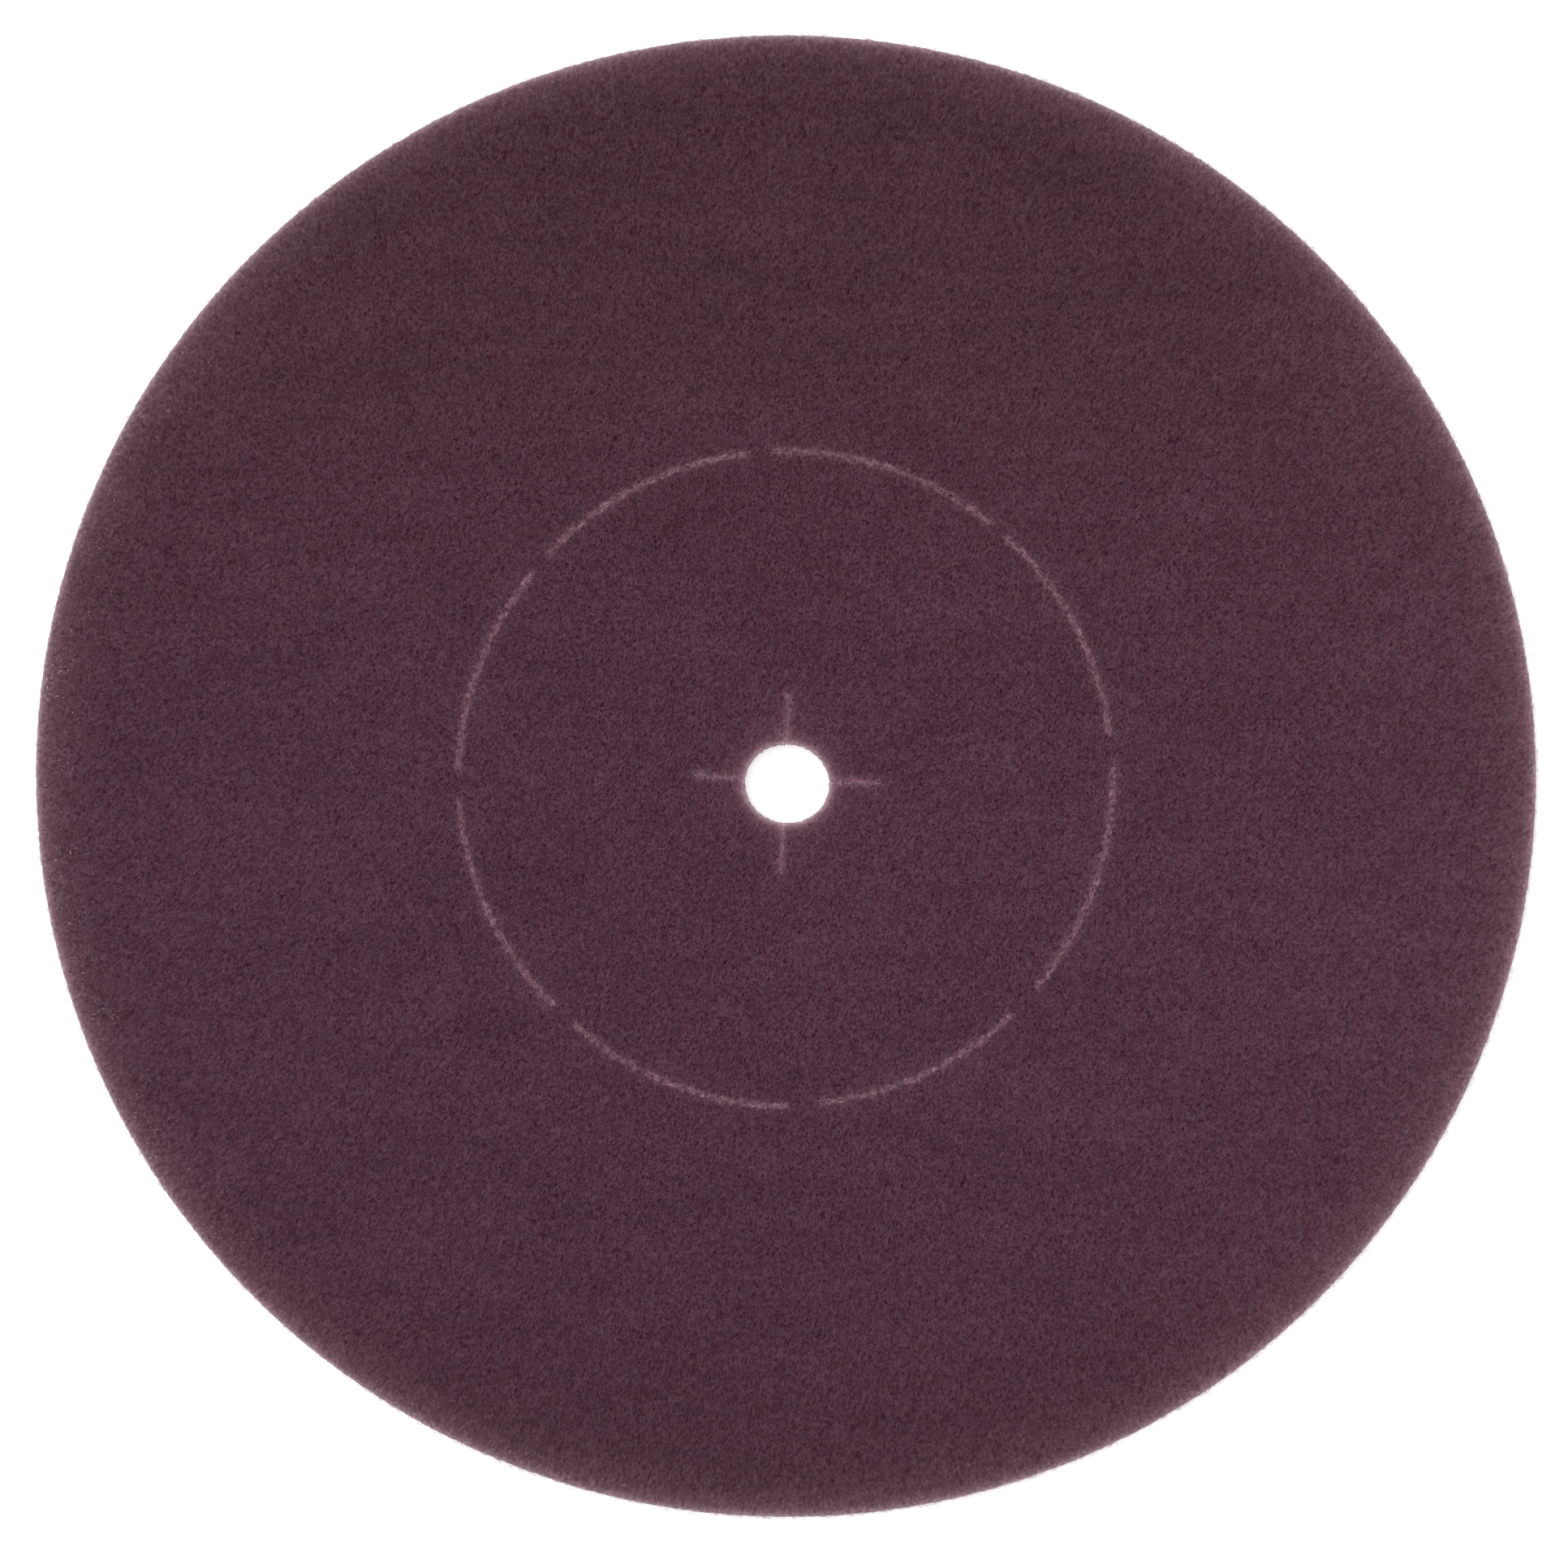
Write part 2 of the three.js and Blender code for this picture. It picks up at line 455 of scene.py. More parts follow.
def make_web(cuts, surface, material, rng):
    """The closed body of the pad: two faces, and rows of points down the walls of its cuts."""
    points = face_points(cuts, rng)
    triangles = face_triangles(points, cuts)
    depths = cuts.depths(points)
    count = len(points)
    on_edge = sum(len(loop) for loop in cuts.loops)
    for kind in KINDS:
        depths[kind][0][:on_edge] = np.clip(depths[kind][0][:on_edge], 0, None)
    closed, closing, pushes, tucks = edge_shifts(cuts, depths, on_edge)
    ragged = wavy(rng, *RAGGED)
    top = flat(points, surface.top(points, depths))
    under = flat(points, surface.under(points, depths))
    for face in (top, under):
        face[:, :2] += closing + pushes * ragged(face)[:, None]
    blocks = [top, under]
    wall_depth = []
    for row in range(1, WALL_ROWS):
        height = top[:on_edge, 2] + (under[:on_edge, 2] - top[:on_edge, 2]) * row / WALL_ROWS
        wall = flat(points[:on_edge], height)
        tuck = tucks * np.sin(np.pi * row / WALL_ROWS)
        wall[:, :2] += closing[:on_edge] + pushes[:on_edge] * ragged(wall)[:, None]
        wall[:, :2] -= cuts.ways * tuck[:, None]
        blocks.append(wall)
        to_face = np.minimum(top[:on_edge, 2] - height, height - under[:on_edge, 2])
        wall_depth.append(WALL_SHARE * to_face)
    values = cut_values(cuts, points, depths, closed)
    for key, value in values.items():
        walls = [value[:on_edge] + depth for depth in wall_depth]
        values[key] = np.concatenate([value, value, *walls])
    polygons = [triangles, count + triangles[:, ::-1], wall_quads(cuts, count, on_edge)]
    return new_object("web", np.vstack(blocks), polygons, material, values)


# Each fibre is a thin closed tube that narrows towards both ends.
FIBRE_SIDES = 3
END_SHARE = 0.35  # of the full radius, at the ends
END_POWER = 0.5
ASKEW = (0.3, 0.2, 1.0)  # a direction that no fibre runs in, from which its sides are set out


def curled_paths(rng, starts, headings, points, step, bend, wander):
    """Flat paths of equal steps that curl by a bend, in radians per metre, which wanders on the way."""
    count = len(starts)
    changes = rng.normal(0, bend, (count, 1)), rng.normal(0, wander, (count, points - 1))
    turns = changes[0] + np.cumsum(changes[1], axis=1)
    angles = headings[:, None] + np.cumsum(turns, axis=1) * step
    moves = step * np.stack([np.cos(angles), np.sin(angles)], axis=-1)
    path = np.concatenate([np.zeros((count, 1, 2)), np.cumsum(moves, axis=1)], axis=1)
    return starts[:, None, :] + path


def tubes(paths, radii):
    """Closed tubes along paths, given as fibres by points by three: vertices and polygons."""
    fibres, points, _ = paths.shape
    along = unit(np.gradient(paths, axis=1))
    side = unit(np.cross(along[:, 0], ASKEW))
    sides = []
    for k in range(points):
        side = unit(side - (side * along[:, k]).sum(axis=1, keepdims=True) * along[:, k])
        sides.append(side)
    sides = np.stack(sides, axis=1)
    others = np.cross(along, sides)
    angles = 2 * np.pi * np.arange(FIBRE_SIDES) / FIBRE_SIDES
    arms = radii[:, :, None, None]
    rings = (
        paths[:, :, None, :]
        + arms * np.cos(angles)[:, None] * sides[:, :, None, :]
        + arms * np.sin(angles)[:, None] * others[:, :, None, :]
    )
    numbers = np.arange(fibres * points * FIBRE_SIDES).reshape(fibres, points, FIBRE_SIDES)
    near, far = numbers[:, :-1], numbers[:, 1:]
    quads = np.stack([near, np.roll(near, -1, axis=2), np.roll(far, -1, axis=2), far], axis=-1)
    caps = np.concatenate([numbers[:, 0, ::-1], numbers[:, -1]])
    return rings.reshape(-1, 3), [quads.reshape(-1, 4), caps]


def fibre_object(name, paths, radii, shades, bare, cuts, material):
    """One object of many fibres, each with its own shade, and its share of painted glow at each point."""
    vertices, polygons = tubes(paths, radii)
    points = paths[..., :2].reshape(-1, 2)
    per_point = cut_values(cuts, points, cuts.depths(points), dict.fromkeys(NARROW, 0))
    per_point["bare"] = np.broadcast_to(bare, paths.shape[:2]).ravel()
    per_point["shade"] = np.repeat(shades, paths.shape[1])
    values = {key: np.repeat(value, FIBRE_SIDES) for key, value in per_point.items()}
    return new_object(name, vertices, polygons, material, values)


def tapered(rng, count, points, low, high):
    """Radii that thin out towards both ends."""
    bow = np.sin(np.pi * np.linspace(0, 1, points)) ** END_POWER
    slim = END_SHARE + (1 - END_SHARE) * bow
    return rng.uniform(low, high, (count, 1)) * slim[None, :]


def arched(rng, count, points, rise, dip):
    """Heights over the face of fibres that rise out of it and dip back in at both ends."""
    bow = np.sin(np.pi * np.linspace(0, 1, points))
    return bow[None, :] * rng.uniform(*rise, (count, 1)) - dip


# Fibres of a face. Some of those tried reach over a cut and are left out.
FACE_FIBRES = 6000
FACE_SPARE = 1.6
FACE_SPREAD = 0.9  # radians away from +X and -X
FACE_ROOM = 0.25 * MM
FACE_POINTS = 6
FACE_STEP = 0.7 * MM
FACE_BEND = 300
FACE_WANDER = 180
FACE_RADII = (0.07 * MM, 0.12 * MM)
FACE_RISE = (0.12 * MM, 0.60 * MM)
FACE_DIP = 0.12 * MM


def make_face_fibres(name, cuts, surface, side, material, rng):
    """Curled fibres that lie in one face of the web and dip into it at their ends."""
    half = cuts.loops[0].max(axis=0)
    starts = rng.uniform(-1, 1, (int(FACE_FIBRES * FACE_SPARE), 2)) * half
    headings = rng.normal(0, FACE_SPREAD, len(starts)) + np.pi * rng.integers(0, 2, len(starts))
    paths = curled_paths(rng, starts, headings, FACE_POINTS, FACE_STEP, FACE_BEND, FACE_WANDER)
    room = least_depth(cuts.depths(paths.reshape(-1, 2))).reshape(paths.shape[:2])
    fits = np.flatnonzero(room.min(axis=1) > FACE_ROOM)[:FACE_FIBRES]
    points = paths[fits].reshape(-1, 2)
    depths = cuts.depths(points)
    lift = arched(rng, len(fits), FACE_POINTS, FACE_RISE, FACE_DIP).ravel()
    if side == 0:
        heights = surface.top(points, depths) + lift
    else:
        heights = np.clip(surface.under(points, depths) - lift, FACE_RADII[1], None)
    paths = flat(points, heights).reshape(len(fits), FACE_POINTS, 3)
    radii = tapered(rng, len(fits), FACE_POINTS, *FACE_RADII)
    shades = rng.uniform(0, 1, len(fits))
    return fibre_object(name, paths, radii, shades, 0.0, cuts, material)


# Fuzz: how far it stands off the wall, from least to most, with most of it near the least.
FUZZ_FIBRES = 7200
FUZZ_POINTS = 5
FUZZ_REACH = (0.10 * MM, 1.35 * MM)
FUZZ_CROWDING = 2.0
HOLE_FUZZ_SHARE = 0.35
FUZZ_LENGTH = (0.8 * MM, 2.4 * MM)
FUZZ_RADII = (0.03 * MM, 0.07 * MM)
FUZZ_ROOT = 0.15 * MM
FUZZ_WOBBLE = 0.06 * MM
FUZZ_MARGINS = (0.4 * MM, 0.5 * MM)  # to the under face and the top face
FUZZ_SKEW = 0.8
FUZZ_SLOPE = 0.35
# Most painted glow in a fuzz fibre, light shining through it.
FUZZ_GLOW = 0.3


def make_wall_fuzz(cuts, surface, material, rng):
    """Loose loops of fibre all over the walls of the rim and of the hole."""
    picks = rng.choice(np.flatnonzero(np.isin(cuts.kinds, ("rim", "hole"))), FUZZ_FIBRES)
    out = flat(cuts.ways_out[picks])
    along = np.cross(out, [0, 0, 1.0])
    heights = rng.uniform(FUZZ_MARGINS[0], surface.thickness - FUZZ_MARGINS[1], FUZZ_FIBRES)
    round_edge = np.where(cuts.kinds[picks] == "rim", ROUNDS["rim"], ROUNDS["hole"])
    to_face = np.minimum(heights, surface.thickness - heights)
    starts = flat(cuts.probes[picks], heights)
    starts -= out * rounded_away(round_edge, to_face)[:, None]
    low, high = FUZZ_REACH
    reach = low + (high - low) * rng.uniform(0, 1, (FUZZ_FIBRES, 1)) ** FUZZ_CROWDING
    reach *= np.where(cuts.kinds[picks] == "rim", 1, HOLE_FUZZ_SHARE)[:, None]
    length = rng.uniform(*FUZZ_LENGTH, (FUZZ_FIBRES, 1))
    share = np.linspace(0, 1, FUZZ_POINTS)
    bow = reach * np.sin(np.pi * share**FUZZ_SKEW) - FUZZ_ROOT
    run = length * (share - 0.5)
    paths = starts[:, None, :] + out[:, None, :] * bow[..., None] + along[:, None, :] * run[..., None]
    paths[..., 2] += rng.normal(0, FUZZ_SLOPE, (FUZZ_FIBRES, 1)) * run
    paths += np.cumsum(rng.normal(0, FUZZ_WOBBLE, paths.shape), axis=1)
    paths[..., 2] = np.clip(paths[..., 2], FUZZ_RADII[1], None)
    radii = tapered(rng, FUZZ_FIBRES, FUZZ_POINTS, *FUZZ_RADII)
    bare = rng.uniform(0, FUZZ_GLOW, (FUZZ_FIBRES, 1))
    shades = rng.uniform(0, 1, FUZZ_FIBRES)
    return fibre_object("wall_fuzz", paths, radii, shades, bare, cuts, material)


# Fray: how far it strays from a slit's middle line, and how it gathers in clusters.
FRAY_FIBRES = 4600
FRAY_POINTS = 6
FRAY_STEP = 0.3 * MM
FRAY_BEND = 700
FRAY_WANDER = 400
FRAY_SPREADS = {"arm": 0.60 * MM, "slit": 0.40 * MM}
FRAY_CLUSTERS = (4 * MM, 0.6)
FRAY_LEAST = 0.1
# Most painted glow in a fray fibre, light shining through it.
FRAY_GLOW = 0.7
FRAY_RADII = (0.06 * MM, 0.13 * MM)
FRAY_RISE = (0.10 * MM, 0.34 * MM)
FRAY_DIP = 0.16 * MM


def make_slit_fray(cuts, surface, material, rng):
    """Broken fibres that spring back over the slits, on both faces, made pale by painted glow."""
    narrow = np.flatnonzero(cuts.lined["arm"] | cuts.lined["slit"])
    chance = np.clip(1 + wavy(rng, *FRAY_CLUSTERS)(flat(cuts.probes[narrow])), FRAY_LEAST, None)
    picks = rng.choice(narrow, FRAY_FIBRES, p=chance / chance.sum())
    gaps = np.array([cuts.half_gaps[kind] for kind in cuts.kinds[picks]])
    spreads = np.array([FRAY_SPREADS[kind] for kind in cuts.kinds[picks]])
    aside = gaps + rng.normal(0, 1, FRAY_FIBRES) * spreads
    middles = cuts.probes[picks] + cuts.ways_out[picks] * aside[:, None]
    headings = rng.uniform(0, 2 * np.pi, FRAY_FIBRES)
    paths = curled_paths(rng, middles, headings, FRAY_POINTS, FRAY_STEP, FRAY_BEND, FRAY_WANDER)
    paths += (middles - paths.mean(axis=1))[:, None, :]
    lift = arched(rng, FRAY_FIBRES, FRAY_POINTS, FRAY_RISE, FRAY_DIP) - FACE_SINK
    on_top = rng.integers(0, 2, (FRAY_FIBRES, 1)) == 0
    heights = np.where(on_top, surface.thickness + lift, np.clip(-lift, FRAY_RADII[1], None))
    paths = flat(paths.reshape(-1, 2), heights.ravel()).reshape(FRAY_FIBRES, FRAY_POINTS, 3)
    radii = tapered(rng, FRAY_FIBRES, FRAY_POINTS, *FRAY_RADII)
    bare = rng.uniform(0, FRAY_GLOW, (FRAY_FIBRES, 1))
    shades = rng.uniform(0, 1, FRAY_FIBRES)
    return fibre_object("slit_fray", paths, radii, shades, bare, cuts, material)


class Graph:
    """Short calls for a material's nodes."""

    def __init__(self, name):
        self.material = bpy.data.materials.new(name)
        self.material.use_nodes = True
        self.nodes = self.material.node_tree.nodes
        self.links = self.material.node_tree.links
        self.shader = self.nodes["Principled BSDF"]

    def put(self, socket, value):
        if isinstance(value, bpy.types.NodeSocket):
            self.links.new(value, socket)
        elif socket.type == "RGBA":
            socket.default_value = (*value, 1)
        else:
            socket.default_value = value

    def node(self, kind, **settings):
        made = self.nodes.new(kind)
        for key, value in settings.items():
            setattr(made, key, value)
        return made

    def math(self, operation, *values):
        made = self.node("ShaderNodeMath", operation=operation)
        for socket, value in zip(made.inputs, values):
            self.put(socket, value)
        return made.outputs[0]

    def noise(self, where, size, detail=0.0, distortion=0.0):
        """A smooth noise whose spots have about this size."""
        made = self.node("ShaderNodeTexNoise", noise_dimensions="3D")
        self.put(made.inputs["Vector"], where)
        self.put(made.inputs["Scale"], 1 / size)
        self.put(made.inputs["Detail"], detail)
        self.put(made.inputs["Distortion"], distortion)
        return made.outputs["Fac"]

    def placed(self, where, shift=(0, 0, 0), turn=0.0, stretch=(1, 1, 1)):
        made = self.node("ShaderNodeMapping", vector_type="POINT")
        self.put(made.inputs["Vector"], where)
        self.put(made.inputs["Location"], shift)
        self.put(made.inputs["Rotation"], (0, 0, turn))
        self.put(made.inputs["Scale"], stretch)
        return made.outputs[0]

    def ranged(self, value, low, high, new_low=0.0, new_high=1.0, smooth=True):
        """The value taken from one range to another, and kept within it."""
        steps = "SMOOTHSTEP" if smooth else "LINEAR"
        made = self.node("ShaderNodeMapRange", interpolation_type=steps)
        self.put(made.inputs["Value"], value)
        self.put(made.inputs["From Min"], low)
        self.put(made.inputs["From Max"], high)
        self.put(made.inputs["To Min"], new_low)
        self.put(made.inputs["To Max"], new_high)
        return made.outputs[0]

    def mixed(self, share, first, second, blend="MIX"):
        made = self.node("ShaderNodeMix", data_type="RGBA", blend_type=blend)
        self.put(made.inputs[0], share)
        self.put(made.inputs[6], first)
        self.put(made.inputs[7], second)
        return made.outputs[2]

    def vector(self, operation, first, second):
        made = self.node("ShaderNodeVectorMath", operation=operation)
        self.put(made.inputs[0], first)
        self.put(made.inputs["Scale" if operation == "SCALE" else 1], second)
        return made.outputs["Value" if operation == "DOT_PRODUCT" else "Vector"]

    def stored(self, name):
        """A value that the mesh holds at each vertex."""
        made = self.node("ShaderNodeAttribute", attribute_type="GEOMETRY", attribute_name=name)
        return made.outputs["Fac"]

    def fading(self, distance, reach, power=1):
        """A share that falls from 1 as the distance grows past the reach."""
        steps = self.math("POWER", self.math("DIVIDE", distance, reach), power)
        return self.math("EXPONENT", self.math("MULTIPLY", steps, -1.0))

    def eased(self, value, target, share):
        """The value, moved towards the target by a share of the way."""
        return self.math("ADD", value, self.math("MULTIPLY", self.math("SUBTRACT", target, value), share))

    def own_place(self):
        return self.node("ShaderNodeTexCoord").outputs["Object"]

    def axes(self, where):
        """The X and the Y of a place."""
        split = self.node("ShaderNodeSeparateXYZ")
        self.put(split.inputs[0], where)
        return split.outputs["X"], split.outputs["Y"]

    def set_look(self, colour, roughness, specular):
        self.put(self.shader.inputs["Base Color"], colour)
        self.put(self.shader.inputs["Roughness"], roughness)
        self.put(self.shader.inputs["Specular IOR Level"], specular)

    def set_bump(self, height, strength, distance):
        bump = self.node("ShaderNodeBump")
        self.put(bump.inputs["Strength"], strength)
        self.put(bump.inputs["Distance"], distance)
        self.put(bump.inputs["Height"], height)
        self.put(self.shader.inputs["Normal"], bump.outputs[0])


# Where a noise has most of its values, and where it has nearly all of them.
MIDDLE_BAND = (0.35, 0.65)
WIDE_BAND = (0.3, 0.7)

# Colours, as linear shares of reflected light.
# The web's colour runs from a pore in painted shade to a strand on top.
PORE_SHADE = (0.0342, 0.0012, 0.0121)
STRAND = (0.1135, 0.0526, 0.0782)
FIBRE_DARK = (0.0595, 0.0207, 0.0353)
FIBRE_LIGHT = (0.1111, 0.0527, 0.0753)
# Pale fibre, painted glow of light shining through thin fibres at the cuts.
GLOW_FIBRE = (0.3100, 0.1800, 0.2150)
REDDER = (1.013, 0.992, 0.982)
BLUER = (0.987, 1.008, 1.018)
# Painted highlight: glints off the abrasive grains near the rim.
GLINT = (0.1900, 0.1750, 0.1800)

# Painted glow along the cuts, light shining through the web at its cut edges and through the slits:
# where, colour added, reach, how suddenly it fades and how strongly the web's own texture shows in it.
CUT_GLOWS = (
    ("rim_depth", (0.080, 0.048, 0.050), 5.0 * MM, 1, 0.6),
    ("rim_depth", (0.220, 0.150, 0.172), 1.0 * MM, 1, 0.7),
    ("rim_depth", (0.200, 0.190, 0.190), 0.4 * MM, 1, 0.4),
    ("hole_depth", (0.055, 0.026, 0.035), 4.0 * MM, 1, 0.1),
    ("hole_depth", (0.250, 0.150, 0.182), 1.0 * MM, 1, 0.3),
    ("hole_depth", (0.290, 0.300, 0.300), 0.4 * MM, 1, 0.3),
    ("slit_line", (0.075, 0.042, 0.054), 0.85 * MM, 1.5, 1.5),
    ("slit_line", (0.065, 0.038, 0.046), 0.45 * MM, 2, 1.5),
    ("slit_line", (0.018, 0.010, 0.013), 2.0 * MM, 1, 0.5),
    ("arm_line", (0.072, 0.037, 0.050), 1.05 * MM, 1.5, 1.7),
    ("arm_line", (0.035, 0.020, 0.026), 0.50 * MM, 2, 1.7),
    ("arm_line", (0.018, 0.010, 0.013), 2.0 * MM, 1, 0.5),
)
LINE_WOBBLE = 1.6 * MM
LINE_WOBBLE_SIZE = 1.5 * MM

# Painted light and shade over the pad, lighter to the lower right: how the colour drifts from its middle
# to its edge: to the right, upward, outward, and at the left and right against the top and bottom,
# for each of red, green and blue.
DRIFT_REACH = 210 * MM
DRIFT_RIGHT = (0.064, 0.072, 0.058)
DRIFT_UP = (-0.056, -0.055, -0.104)
DRIFT_OUTWARD = (-0.015, 0.045, -0.035)
DRIFT_SIDES = (0.100, 0.115, 0.140)

# Curled strands of the web, from the top layer down: size, width of the line and brightness,
# the deeper layers darker as painted shade.
STRAND_LAYERS = (
    (0.98 * MM, 0.060, 1.00),
    (0.86 * MM, 0.070, 0.85),
    (0.77 * MM, 0.085, 0.70),
    (0.68 * MM, 0.100, 0.55),
)
STRAND_DETAIL = 0.6
STRAND_DISTORTION = 0.4
LAYER_SHIFT = (0.37, 0.19, 0.11)  # metres from each layer to the next in the noise
PATCH_SIZE = 2.6  # strand sizes
PATCH_SHARE = 0.65  # of a layer's brightness, where its strands are faint
# Strands lower in the web are darker, as painted shade.
STRAND_LEVELS = (0.0, 0.7, 0.28, 1.0)  # heights from and to, brightness from and to

# Dark pores between the strands, painted shade in the web's hollows: size, then the noise from and to,
# and the brightness from and to.
PORE_SIZE = 0.70 * MM
PORE_DISTORTION = 0.3
PORE_LEVELS = (0.31, 0.41, 0.24, 1.0)

# How the texture shows in the painted glow along the cuts: by the web's brightness, and in blotches.
GRAIN_LEVELS = (0.0, 1.0, 0.6, 1.5)
BLOTCH_SIZE = 1.1 * MM
BLOTCH_LEVELS = (0.65, 1.35)

# Painted glints near the rim, and the patches that they come in: sizes, and the noise from and to.
SPECK_SIZE = 0.6 * MM
SPECK_BAND = (0.72, 0.78)
SPECK_PATCH = 9 * MM
SPECK_PATCH_BAND = (0.44, 0.60)
SPECK_REACH = 16 * MM
SPECK_SIDES = (-120 * MM, -200 * MM, 0.35, 1.0)  # X from and to, strength from and to

# Slow changes of the web's brightness: size, scale along X, strength and detail.
CLOUD = (16 * MM, 0.55, 0.07, 2.0)
STREAK = (5 * MM, 0.07, 0.04, 1.0)
HUE_SIZE = 4.5 * MM

# Roughness from and to, how glossy, and bump as a strength and a depth.
WEB_ROUGHNESS = (0.98, 0.78)
WEB_SPECULAR = 0.05
WEB_BUMP = (1.0, 0.18 * MM)
FIBRE_ROUGHNESS = (0.55, 0.80)
FIBRE_SPECULAR = 0.1
FIBRE_BUMP = (0.5, 0.03 * MM)
FIBRE_MOTTLE_SIZE = 1.5 * MM
FIBRE_MOTTLE_SHADES = (0.6, 1.0)
FIBRE_GRAIN_SIZE = 0.25 * MM

# The strands run a little more one way than the other, and more outward towards the rim.
LEAN = 65  # degrees from +X
LEAN_STRETCH = 0.62
OUTWARD_STRETCH = 3.0  # per square metre

# The texture grows fainter towards the rim.
MEAN_LEVEL = 0.47
CALMING = 7.0  # per square metre


def combed(graph, where):
    """The place, drawn together along the way that the strands run."""
    square = graph.vector("DOT_PRODUCT", where, where)
    shrink = graph.math("SUBTRACT", 1.0, graph.math("MULTIPLY", square, OUTWARD_STRETCH))
    turned = graph.placed(graph.vector("SCALE", where, shrink), turn=-np.radians(LEAN))
    return graph.placed(turned, stretch=(LEAN_STRETCH, 1, 1))


def strand_height(graph, where):
    """Heights of several layers of curled strands, each drawn as the level lines of a smooth noise."""
    height = 0.0
    for number, (size, width, level) in enumerate(STRAND_LAYERS):
        place = graph.placed(where, shift=[number * shift for shift in LAYER_SHIFT])
        wave = graph.noise(place, size, detail=STRAND_DETAIL, distortion=STRAND_DISTORTION)
        off_line = graph.math("ABSOLUTE", graph.math("SUBTRACT", wave, 0.5))
        line = graph.ranged(off_line, width, 0.0)
        cover = graph.noise(place, PATCH_SIZE * size)
        patch = graph.ranged(cover, *MIDDLE_BAND, PATCH_SHARE * level, level)
        layer = graph.math("MULTIPLY", line, patch)
        height = layer if number == 0 else graph.math("MAXIMUM", height, layer)
    return height


def with_painted_drift(graph, where, colour):
    """The colour with painted light and shade drifting over the pad."""
    right, up = graph.axes(graph.vector("SCALE", where, 1 / DRIFT_REACH))
    across, along = graph.math("MULTIPLY", right, right), graph.math("MULTIPLY", up, up)
    outward_share = graph.math("ADD", across, along)
    sides = graph.math("SUBTRACT", across, along)
    drifts = (
        (DRIFT_RIGHT, right), (DRIFT_UP, up), (DRIFT_OUTWARD, outward_share), (DRIFT_SIDES, sides)
    )
    change = (1.0, 1.0, 1.0)
    for tint, amount in drifts:
        change = graph.vector("ADD", graph.vector("SCALE", tint, amount), change)
    return graph.vector("MULTIPLY", colour, change)


def with_bared(graph, where, colour, texture):
    """The colour with the painted glow of light shining through the web along the cuts added."""
    wave = graph.noise(where, LINE_WOBBLE_SIZE)
    wobble = graph.math("MULTIPLY", graph.math("SUBTRACT", wave, 0.5), LINE_WOBBLE)
    for name, tint, reach, power, grain in CUT_GLOWS:
        distance = graph.stored(name)
        if name.endswith("line"):
            distance = graph.math("MAXIMUM", graph.math("ADD", distance, wobble), 0.0)
        shown = graph.math("MAXIMUM", graph.eased(1.0, texture, grain), 0.0)
        share = graph.math("MULTIPLY", graph.fading(distance, reach, power), shown)
        colour = graph.vector("ADD", colour, graph.vector("SCALE", tint, share))
    return colour


def rim_glints(graph, where):
    """A few painted glints near the rim, highlights off abrasive grains, most of them on the left."""
    fleck = graph.ranged(graph.noise(where, SPECK_SIZE), *SPECK_BAND)
    patch = graph.ranged(graph.noise(where, SPECK_PATCH), *SPECK_PATCH_BAND)
    to_left = graph.ranged(graph.axes(where)[0], *SPECK_SIDES)
    beside = graph.math("MULTIPLY", graph.fading(graph.stored("rim_depth"), SPECK_REACH, 2), to_left)
    return graph.math("MULTIPLY", graph.math("MULTIPLY", fleck, patch), beside)


def web_brightness(graph, where, along, height):
    """How bright the web is from a pore in painted shade to a strand on top, calmer towards the rim."""
    pores = graph.noise(along, PORE_SIZE, detail=1.0, distortion=PORE_DISTORTION)
    strands = graph.ranged(height, *STRAND_LEVELS)
    level = graph.math("MULTIPLY", strands, graph.ranged(pores, *PORE_LEVELS))
    calm = graph.math("MULTIPLY", graph.vector("DOT_PRODUCT", where, where), CALMING)
    return graph.eased(level, MEAN_LEVEL, calm)


def clouded(graph, where, colour):
    """The colour with slow changes of its hue, and with faint clouds and streaks."""
    hue = graph.ranged(graph.noise(where, HUE_SIZE, detail=2.0), *MIDDLE_BAND)
    colour = graph.mixed(1.0, colour, graph.mixed(hue, REDDER, BLUER), blend="MULTIPLY")
    change = 1.0
    for size, stretch, strength, detail in (CLOUD, STREAK):
        wave = graph.noise(graph.placed(where, stretch=(stretch, 1, 1)), size, detail=detail)
        amount = graph.ranged(wave, *WIDE_BAND, -strength, strength, smooth=False)
        change = graph.math("ADD", change, amount)
    return graph.vector("SCALE", colour, change)


def web_material():
    graph = Graph("bonded_web")
    where = graph.own_place()
    along = combed(graph, where)
    height = strand_height(graph, along)
    level = web_brightness(graph, where, along, height)
    colour = clouded(graph, where, graph.mixed(level, PORE_SHADE, STRAND))
    colour = with_painted_drift(graph, where, colour)
    colour = graph.vector("ADD", colour, graph.vector("SCALE", GLINT, rim_glints(graph, where)))
    blotch = graph.ranged(graph.noise(where, BLOTCH_SIZE, detail=1.0), *WIDE_BAND, *BLOTCH_LEVELS)
    texture = graph.math("MULTIPLY", graph.ranged(level, *GRAIN_LEVELS, smooth=False), blotch)
    colour = with_bared(graph, where, colour, texture)
    graph.set_look(colour, graph.ranged(height, 0.0, 1.0, *WEB_ROUGHNESS), WEB_SPECULAR)
    graph.set_bump(height, *WEB_BUMP)
    return graph.material


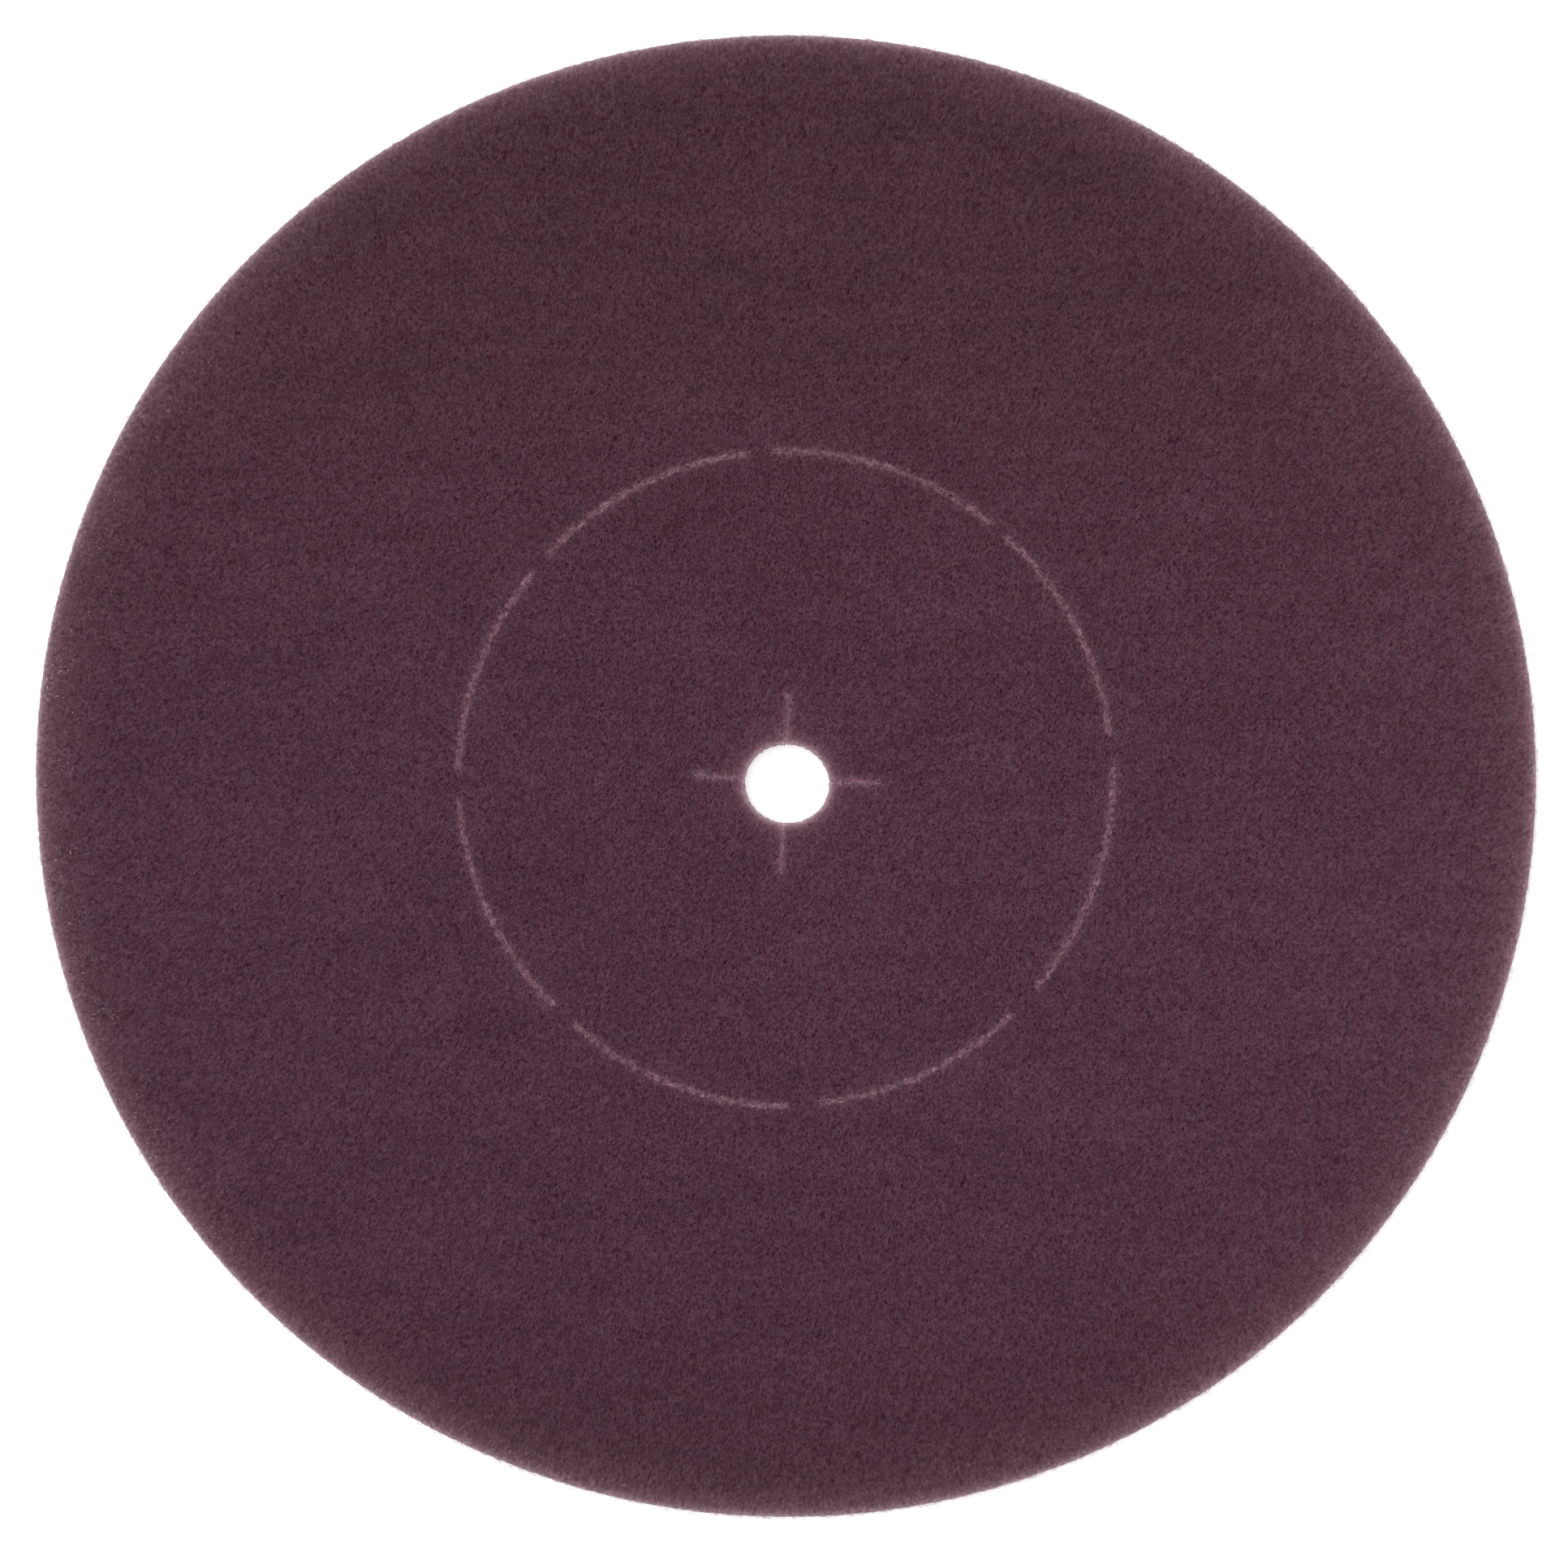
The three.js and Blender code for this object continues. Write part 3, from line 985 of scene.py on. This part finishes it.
def fibre_material():
    graph = Graph("curled_fibre")
    where = graph.own_place()
    mottle = graph.noise(where, FIBRE_MOTTLE_SIZE, detail=1.0)
    shading = graph.ranged(mottle, *WIDE_BAND, *FIBRE_MOTTLE_SHADES)
    share = graph.math("MULTIPLY", graph.stored("shade"), shading)
    colour = with_painted_drift(graph, where, graph.mixed(share, FIBRE_DARK, FIBRE_LIGHT))
    # Painted glow: each fibre paled by its share of light shining through it.
    colour = graph.mixed(graph.stored("bare"), colour, GLOW_FIBRE)
    colour = with_bared(graph, where, colour, 1.0)
    graph.set_look(colour, graph.ranged(mottle, *WIDE_BAND, *FIBRE_ROUGHNESS), FIBRE_SPECULAR)
    graph.set_bump(graph.noise(where, FIBRE_GRAIN_SIZE, detail=1.0), *FIBRE_BUMP)
    return graph.material


def floor_material():
    graph = Graph("pale_floor")
    cloud = graph.noise(graph.own_place(), FLOOR_CLOUD_SIZE, detail=3.0)
    shade = graph.ranged(cloud, *WIDE_BAND, FLOOR_GREY - FLOOR_MOTTLE, FLOOR_GREY + FLOOR_MOTTLE)
    colour = graph.node("ShaderNodeCombineColor")
    for socket in colour.inputs:
        graph.put(socket, shade)
    graph.set_look(colour.outputs[0], FLOOR_ROUGHNESS, 0.0)
    graph.put(graph.shader.inputs["Emission Color"], WHITE)
    graph.put(graph.shader.inputs["Emission Strength"], FLOOR_SHINE)
    return graph.material


def add_floor():
    half = FLOOR_SIZE / 2
    corners = np.array([[-half, -half, 0], [half, -half, 0], [half, half, 0], [-half, half, 0]])
    floor = new_object("floor", corners, [np.array([[0, 1, 2, 3]])], floor_material(), {})


def add_lights():
    world = bpy.data.worlds.new("studio")
    world.use_nodes = True
    background = world.node_tree.nodes["Background"]
    background.inputs["Color"].default_value = (*WHITE, 1)
    background.inputs["Strength"].default_value = WORLD_STRENGTH
    bpy.context.scene.world = world
    data = bpy.data.lights.new("softbox", "AREA")
    data.shape = "SQUARE"
    data.size = SOFTBOX_SIZE
    data.energy = SOFTBOX_WATTS
    softbox = bpy.data.objects.new("softbox", data)
    softbox.location = SOFTBOX_PLACE
    softbox.rotation_euler = (-softbox.location).to_track_quat("-Z", "Y").to_euler()
    softbox.visible_camera = False
    bpy.context.scene.collection.objects.link(softbox)


def add_camera(cuts, thickness):
    """Straight above, framed as the photograph frames the pad's outline."""
    longest = 2 * np.linalg.norm(cuts.outlines[0], axis=1).max()
    metres_per_pixel = longest / OUTLINE_LENGTH_PX
    data = bpy.data.cameras.new("camera")
    data.sensor_width = SENSOR_WIDTH
    distance = CAMERA_HEIGHT - (thickness - RIM_ROUND)
    data.lens = SENSOR_WIDTH * distance / (PHOTO_WIDTH * metres_per_pixel)
    camera = bpy.data.objects.new("camera", data)
    across = (PHOTO_WIDTH / 2 - OUTLINE_MIDDLE_PX[0]) * metres_per_pixel
    up = (OUTLINE_MIDDLE_PX[1] - PHOTO_HEIGHT / 2) * metres_per_pixel
    camera.location = (across, up, CAMERA_HEIGHT)
    bpy.context.scene.collection.objects.link(camera)
    bpy.context.scene.camera = camera


def main():
    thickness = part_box(NODE)[1].z
    cuts = Cuts(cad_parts[NODE], thickness / 2)
    add_camera(cuts, thickness)
    add_lights()
    add_floor()
    surface = Surface(thickness, seeded(0))
    web_look = web_material()
    fibre_look = fibre_material()
    web = make_web(cuts, surface, web_look, seeded(1))
    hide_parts(NODE)
    pieces = [
        web,
        make_face_fibres("top_fibres", cuts, surface, 0, fibre_look, seeded(2)),
        make_face_fibres("under_fibres", cuts, surface, 1, fibre_look, seeded(3)),
        make_wall_fuzz(cuts, surface, fibre_look, seeded(4)),
        make_slit_fray(cuts, surface, fibre_look, seeded(5)),
    ]
    for piece in pieces:
        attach(piece, BODY)
    bpy.context.scene.view_settings.view_transform = "Standard"


main()
